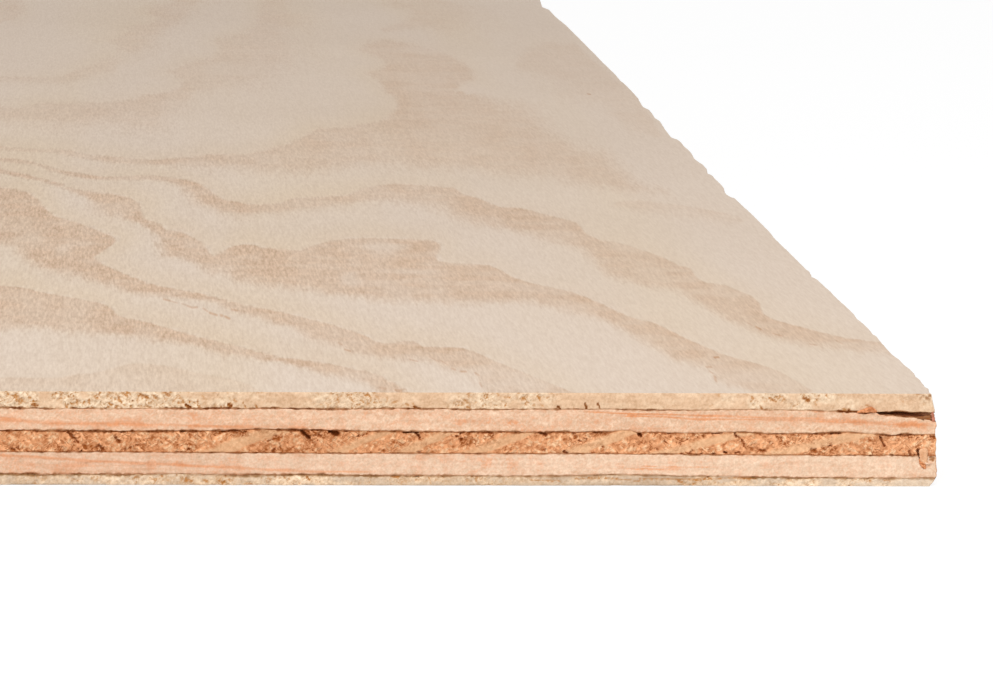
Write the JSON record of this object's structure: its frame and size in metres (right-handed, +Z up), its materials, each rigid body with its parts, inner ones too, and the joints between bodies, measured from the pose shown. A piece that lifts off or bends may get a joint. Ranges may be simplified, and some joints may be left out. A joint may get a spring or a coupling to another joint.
{
  "type": "plywood sheet",
  "caption": "Full-size flat sheet of softwood plywood, with crossed veneers glued face to face and sawn square edges.",
  "frame": {"origin": "middle of the sheet's underside, on the surface that it lies on", "axes": "+X across the face grain, +Y along the face grain, away from the front short edge, +Z up through the veneers to the sanded face"},
  "size_m": [1.2192, 2.4384, 0.0183],
  "materials": {
    "face_wood": "sanded softwood veneer, pale with tan latewood figure",
    "crossband_wood": "sawn along the grain, pinkish",
    "core_wood": "sawn across the grain, rough and orange",
    "back_wood": "unsanded softwood veneer, straw coloured"
  },
  "bodies": {
    "root": {"back_veneer": "back_wood", "lower_crossband": "crossband_wood", "core_veneer": "core_wood", "upper_crossband": "crossband_wood", "face_veneer": "face_wood"}
  },
  "joints": []
}
